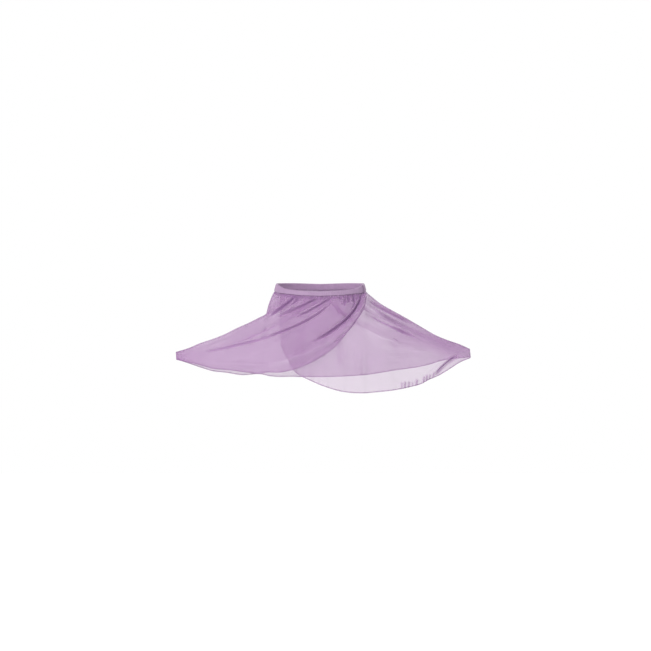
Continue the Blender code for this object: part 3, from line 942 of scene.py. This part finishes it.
# Side seams
# French seams that join the back to the fronts, from the band out along the pulled top edge and
# down to the hem at the held corner: the two raw edges are rolled inside a narrow fold of cloth.
SEAM_WIDTH = 3.6
SEAM_THICK = 1.0
SEAM_COVER = 0.28
SEAM_START = 0.012  # share of the pulled edge, just clear of the band
SEAM_POINTS = 150
SEAM_STITCH_INSET = 2.4
SEAM_STITCH_THICK = 1.25
SEAM_AIM_X = 0.86  # share of a seam point's own x, and of its z, at a point within the cloth
SEAM_AIM_Z = 0.6
SEAM_AIM_DROP = 70
CORNER_ROWS = slice(8, None, 6)

for name, rows, last_column in (
    ("right_side_seam", RIGHT_SEAM, back_middle[:, 0]),
    ("left_side_seam", LEFT_SEAM, back_middle[:, -1]),
):
    ridge = seam_line(rows, np.linspace(SEAM_START, 1, SEAM_POINTS))
    line = np.concatenate([ridge, last_column[CORNER_ROWS] * [1, 0, 1]])
    aim_x, aim_z = line[:, 0] * SEAM_AIM_X, line[:, 2] * SEAM_AIM_Z - SEAM_AIM_DROP
    inside = np.column_stack([aim_x, np.zeros(len(line)), aim_z])
    back = np.array([0, 1, 0])
    side_seam = roll_hem(name, line, inside, back, SEAM_WIDTH, SEAM_THICK, SEAM_COVER)
    side_stitches = sew_stitches(
        name + "_stitches", line, inside, back, SEAM_STITCH_INSET, SEAM_STITCH_THICK
    )
    side_seam.data.materials.append(skirt_cloth)
    for piece in (side_seam, side_stitches):
        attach(piece, "root")

# Under front
# The wrap front that lies beneath, cut like the outer one the other way round. It hangs lowest,
# and its free edge runs down inside the outer front from the wearer's right.
FRONT_FALL = (  # x, z of the lowest line of the whole front
    (-328, -162),
    (-260, -176),
    (-180, -188),
    (-120, -194),
    (-60, -204),
    (0, -216),
    (60, -228),
    (130, -229),
    (211, -219),
    (264, -199),
    (342, -157),
)
UNDER_HEM = (  # x, z from the foot of the free edge to the left corner
    (-86, -118),
    (-80, -134),
    (-72, -148),
    (-59.5, -174),
    (-46, -185.5),
    (-29, -194),
    (2.5, -208),
    (43.5, -221),
    (65.5, -224.5),
    (101, -226),
    (130, -224),
    (177, -219.5),
    (211, -213),
    (224, -209.5),
    (242.5, -201),
    (264, -193),
    (283, -183),
    (299.5, -173.5),
    (318.5, -163),
    (342, -154),
)
UNDER_FOLDS = (  # columns as in BACK_FOLDS
    (98, -13, 142, -46, 216, -80, 7, -1.2, 2.0, 0.02),
    (96, -12, 142, -47, 226, -84, 2.6, -1.8, 0, 0.14),
    (104, -12, 140, -42, 262, -99, 9, 0, 0, 0.12),
    (92, -26, 140, -60, 206, -92, 6, 3.2, -0.8, -0.20),
    (96, -78, 122, -106, 176, -124, 15, 0, 0, -0.10),
    (94, -46, 142, -78, 226, -112, 8, -1.2, 2.2, 0.03),
    (88, -42, 142, -78, 240, -116, 2.6, -2.1, 0, 0.16),
    (150, -72, 212, -108, 345, -146, 16, 0, 0, 0.22),
    (108, -107, 176, -121, 272, -133, 6, -2.0, 0.6, 0.08),
    (257, -197, 268, -168, 322, -143, 4, -3.4, 1.2, 0.34),
    (120, -150, 175, -160, 250, -158, 13, 4.0, 0.8, -0.02),
    (236, -200, 262, -172, 306, -152, 6, 2.4, 0.8, 0),
    (60, -90, 66, -150, 70, -216, 16, -2.4, 0.4, 0),
    (24, -150, 20, -180, 14, -206, 12, -2.0, 0.4, 0),
    (104, -130, 112, -176, 118, -218, 14, -2.4, 0.4, 0),
    (158, -150, 170, -184, 180, -212, 12, -2.4, 0.4, 0),
    (104, 0, 170, -50, 360, -146, 20, 0, 0, 0.07),
    (290, -176, 310, -164, 350, -150, 18, 0, 0, 0.02),
    (181, -226, 181, -214, 183, -202, 2.1, 1.8, 0.5, 0.30),
    (188, -225, 188, -214, 190, -200, 2.2, 2.1, 0.5, 0.40),
    (196, -224, 197, -212, 199, -200, 2.1, 2.0, 0.5, 0.36),
    (205, -222, 205, -212, 207, -202, 1.9, 1.6, 0.4, 0.24),
    (214, -220, 214, -209, 217, -196, 2.2, 2.1, 0.5, 0.36),
    (229, -215, 230, -204, 233, -190, 2.1, 2.0, 0.5, 0.34),
    (236, -212, 237, -200, 240, -187, 2.2, 2.1, 0.5, 0.38),
    (243, -209, 244, -198, 247, -186, 2.0, 1.8, 0.5, 0.30),
    (252, -205, 253, -194, 256, -181, 2.2, 2.0, 0.5, 0.32),
)
UNDER_LEAN = ((-91, -0.2), (0, 0.2), (60, 0.5), (102, 0.6))
UNDER_WAVES = (9, 2.4)
UNDER_START = math.radians(-63)
UNDER_HEM_SHARES = (0, 0.485)
UNDER_INSIDE_ROW = -4
UNDER_INSIDE_COLUMN = 6

under_top = panel_top(UNDER_START, QUARTER, False, True)
under_cloth, under_middle, under_out = lay_panel(
    "under_front_cloth",
    -1,
    FRONT_ROWS,
    FRONT_FALL,
    under_top,
    hem_points(UNDER_HEM, under_top, UNDER_HEM_SHARES),
    UNDER_FOLDS,
    UNDER_LEAN,
    UNDER_WAVES,
    sheer=0.42,
    seed=50,
)
under_edge = np.concatenate([under_middle[1:, 0], under_middle[-1, 1:]])
under_inside = np.concatenate(
    [
        under_middle[1:-1, UNDER_INSIDE_COLUMN],
        under_middle[UNDER_INSIDE_ROW, [UNDER_INSIDE_COLUMN]],
        under_middle[UNDER_INSIDE_ROW, 1:],
    ]
)
under_side = np.concatenate([under_out[1:, 0], under_out[-1, 1:]])
under_hem = roll_hem("under_front_hem", under_edge, under_inside, under_side)
under_stitches = sew_stitches("under_front_hem_stitches", under_edge, under_inside, under_side)
for piece in (under_cloth, under_hem):
    piece.data.materials.append(skirt_cloth)
for piece in (under_cloth, under_hem, under_stitches):
    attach(piece, "root")
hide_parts("under_front")

# Outer front
# The wrap front on top, gathered from the wearer's right seam across to the left of the band.
# Its free edge swings from there down to the hem, and the pull to the right corner folds it.
OUTER_HEM = (  # x, z from the right corner to the left of the waist
    (-327, -158),
    (-314, -160.5),
    (-287, -165),
    (-260, -171),
    (-242, -175.5),
    (-201, -178),
    (-162, -182),
    (-136, -184),
    (-114, -180.5),
    (-88, -180),
    (-59.5, -174),
    (-29, -163),
    (0, -147),
    (34, -122.5),
    (54.5, -98),
    (81, -64.5),
    (93, -40.5),
    (98.2, -24),
    (99.2, -14),
)
OUTER_FOLDS = (  # columns as in BACK_FOLDS
    (-48, -8, -72, -40, -119, -64, 7, -0.8, -2.2, 0.02),
    (-47, -6, -72, -40, -121, -65, 2.4, -2.5, 0, 0.44),
    (-30, -18, -56, -36, -124, -74, 4.5, 1.6, 0, -0.09),
    (-41, -8, -49, -22, -64, -34, 2.0, -1.8, 0, 0.22),
    (8, -8, -24, -33, -160, -88, 7, -0.6, -2.2, 0.02),
    (9, -7, -22, -32, -96, -64, 2.5, -1.8, 0, 0.12),
    (4, -22, -16, -40, -92, -76, 4.0, 1.4, 0, -0.08),
    (31, -10, 6, -34, -60, -66, 5, -0.6, -1.8, 0.02),
    (33, -8, 6, -34, -64, -68, 2.4, -1.9, 0, 0.12),
    (34, -16, -20, -101, -306, -151, 8, -1.0, -2.6, 0.02),
    (37, -12, -20, -101, -318, -152, 2.3, -2.2, 0, 0.19),
    (92, -3, 88, -68, -28, -120, 6, -2.4, 0, 0.03),
    (91, 4, 89, -68, -40, -124, 2.4, -3.0, 0, 0.36),
    (58, -16, 60, -50, 16, -86, 5, 2.2, 0, -0.06),
    (99, 4, 99, -66, 0, -130, 5.0, 2.8, 0, -0.15),
    (98, -4, 99, -72, 2, -138, 4.0, -0.8, 0, 0.12),
    (40, -94, -10, -144, -130, -168, 7, 3.4, 0, -0.17),
    (0, -112, -50, -146, -150, -158, 8, -2.0, 0, 0.02),
    (43, -8, 44, -14, 45, -24, 2.0, -2.0, 0, 0.18),
    (56, -6, 55, -20, 49, -35, 2.0, -2.2, 0, 0.20),
    (62, -4, 62, -16, 60, -30, 2.0, -2.4, 0, 0.24),
    (71, -4, 73, -16, 72, -29, 2.6, -3.2, 0, 0.42),
    (75, -26, 73, -34, 66, -44, 2.0, -1.8, 0, 0.16),
    (83, -4, 83, -14, 79, -26, 2.0, -1.6, 0, 0.10),
    (-104, -56, -176, -96, -300, -140, 6, -1.4, 0, 0.07),
    (-96, -74, -170, -110, -280, -136, 7, 2.6, 0, -0.09),
    (-90, -160, -180, -166, -286, -158, 8, 2.6, 0.8, -0.02),
    (-80, -100, -150, -132, -260, -152, 9, -2.4, 0.8, 0.02),
    (-104, 0, -150, -72, -350, -150, 16, 0, 0, -0.18),
    (-130, -130, -220, -150, -330, -156, 30, 0, 0, -0.03),
)
OUTER_LEAN = ((-102, -0.2), (-80, -0.8), (-60, -1.0), (0, -0.9), (50, -0.55), (80, -0.35), (99, -0.3))
OUTER_WAVES = (9, 1.5)
OUTER_END = math.radians(78)
OUTER_HEM_SHARES = (0.405, 1)
LAYER_AT_WAIST = 0.5
LAYER_OVER_GATHERS = 2.2
LAYER_BELOW = 6.0
GATHERS_DROP = 7.0
LAYER_RAMP = 40.0
LAYER_START = 28.0
LAYER_FROM = -119.0


def layer_step(flat, drop, depth):
    """How far the outer front lies outside the smooth half: not at all at its side seam, then
    far enough to clear the under front."""
    full = LAYER_AT_WAIST + (LAYER_OVER_GATHERS - LAYER_AT_WAIST) * smooth(drop / GATHERS_DROP)
    full += (LAYER_BELOW - LAYER_OVER_GATHERS) * smooth(drop / LAYER_RAMP)
    start = smooth(depth / LAYER_START) * smooth((flat[:, 0] - LAYER_FROM) / LAYER_START)
    return full * np.where(flat[:, 0] < 0, start, 1)


outer_top = panel_top(-QUARTER, OUTER_END, True, False)
outer_cloth, outer_middle, outer_out = lay_panel(
    "outer_front_cloth",
    -1,
    FRONT_ROWS,
    FRONT_FALL,
    outer_top,
    hem_points(OUTER_HEM, outer_top, OUTER_HEM_SHARES),
    OUTER_FOLDS,
    OUTER_LEAN,
    OUTER_WAVES,
    sheer=0.62,
    seed=60,
    layer=layer_step,
)

# Its free edge ends in a narrow strip that is turned up over the band and caught at its top
STRIP_POINTS = 14
STRIP_FOOT = -0.35  # share of the band's height
STRIP_HEAD = 0.97
STRIP_WIDTH = 11
STRIP_THICK = 1.5
STRIP_ANGLE = math.radians(8)
STRIP_PROUD = 1.1
STRIP_TURN_IN = 1.2
STRIP_TURN_RATE = 6

strip_share = np.linspace(STRIP_FOOT, STRIP_HEAD, STRIP_POINTS)
strip_angle = np.array([OUTER_END, OUTER_END - STRIP_ANGLE])[:, None]
strip_out = BAND_WALL_OUT + STRIP_PROUD - WAIST_TAPER * np.clip(strip_share, 0, 1)
strip_out -= STRIP_TURN_IN * smooth((strip_share - 1) * STRIP_TURN_RATE + 1)
strip_x = (WAIST_HALF_WIDTH + strip_out) * np.sin(strip_angle)
strip_y = -(WAIST_HALF_DEPTH + strip_out) * np.cos(strip_angle)
strip_low, strip_high = (band_edge(np.array([OUTER_END]), column)[0] for column in (2, 1))
strip_z = np.broadcast_to(strip_low + (strip_high - strip_low) * strip_share, strip_x.shape)
strip, strip_inside = np.stack([strip_x, strip_y, strip_z], axis=-1)
strip_face = np.array([0.97, -0.2, 0])
wrap_strip = roll_hem(
    "wrap_edge_strip", strip, strip_inside, strip_face, STRIP_WIDTH, STRIP_THICK, 1
)
wrap_strip.data.materials.append(band_cloth)
outer_edge, outer_inside = outer_middle[-1], outer_middle[HEM_INSIDE_ROW]
outer_hem = roll_hem("outer_front_hem", outer_edge[:-1], outer_inside[:-1], outer_out[-1, :-1])
outer_stitches = sew_stitches(
    "outer_front_hem_stitches", outer_edge[:-4], outer_inside[:-4], outer_out[-1, :-4]
)
for piece in (outer_cloth, outer_hem):
    piece.data.materials.append(skirt_cloth)
for piece in (outer_cloth, outer_hem, outer_stitches, wrap_strip):
    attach(piece, "root")
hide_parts("outer_front")

# Floor, light and camera
# A plain pale floor well below the skirt, a white room and three large soft lights, seen from
# the height of the waist and a little from above.
floor_finish, dye, output = new_cloth("pale_floor")
floor_shader = dye.node(
    "ShaderNodeBsdfPrincipled",
    {},
    {
        "Base Color": (0.8, 0.8, 0.8, 1),
        "Roughness": 0.7,
        "Emission Color": (1, 1, 1, 1),
        "Emission Strength": 0.5,
    },
)
floor_finish.node_tree.links.new(floor_shader.socket, output.inputs["Surface"])
for other in bpy.context.selected_objects:
    other.select_set(False)
bpy.ops.mesh.primitive_plane_add(size=6, location=(0, -1.4, -0.70))
floor = bpy.context.active_object
floor.name = "floor"
floor.data.materials.append(floor_finish)

room = bpy.data.worlds.new("white_room")
room.use_nodes = True
room.node_tree.nodes.clear()
glow = Yarn(room.node_tree)
seen = glow.node("ShaderNodeLightPath", {}, {}, "Is Camera Ray")
soft_fill = glow.node("ShaderNodeBackground", {}, {"Color": (1, 1, 1, 1), "Strength": 0.52})
white_wall = glow.node("ShaderNodeBackground", {}, {"Color": (1, 1, 1, 1), "Strength": 1.0})
room_light = glow.node("ShaderNodeMixShader", {}, {"Fac": seen, 1: soft_fill, 2: white_wall})
room_output = room.node_tree.nodes.new("ShaderNodeOutputWorld")
room.node_tree.links.new(room_light.socket, room_output.inputs["Surface"])
bpy.context.scene.world = room


def soft_light(name, place, aim, size, power):
    """Large square light at a place, turned to a point."""
    lamp = bpy.data.lights.new(name, "AREA")
    lamp.size, lamp.energy = size, power
    made = bpy.data.objects.new(name, lamp)
    bpy.context.scene.collection.objects.link(made)
    made.location = place
    made.rotation_euler = (Vector(place) - Vector(aim)).to_track_quat("Z", "Y").to_euler()


skirt_middle = (0, 0, -0.1)
soft_light("front_light", (-1.4, -1.7, 1.8), skirt_middle, 0.9, 68)
soft_light("side_light", (1.8, -1.4, 0.4), skirt_middle, 1.0, 7)
soft_light("back_light", (0.8, 2.0, 1.4), skirt_middle, 1.4, 26)

lens = bpy.data.cameras.new("camera")
lens.lens = 63.33
lens.sensor_width = 36
camera = bpy.data.objects.new("camera", lens)
camera.location = (0.012, -2.5975, 0.0328)
camera.rotation_euler = (math.radians(87.5), 0, 0)
bpy.context.scene.collection.objects.link(camera)
bpy.context.scene.camera = camera
bpy.context.scene.view_settings.view_transform = "Standard"
bpy.context.scene.cycles.transparent_max_bounces = 32
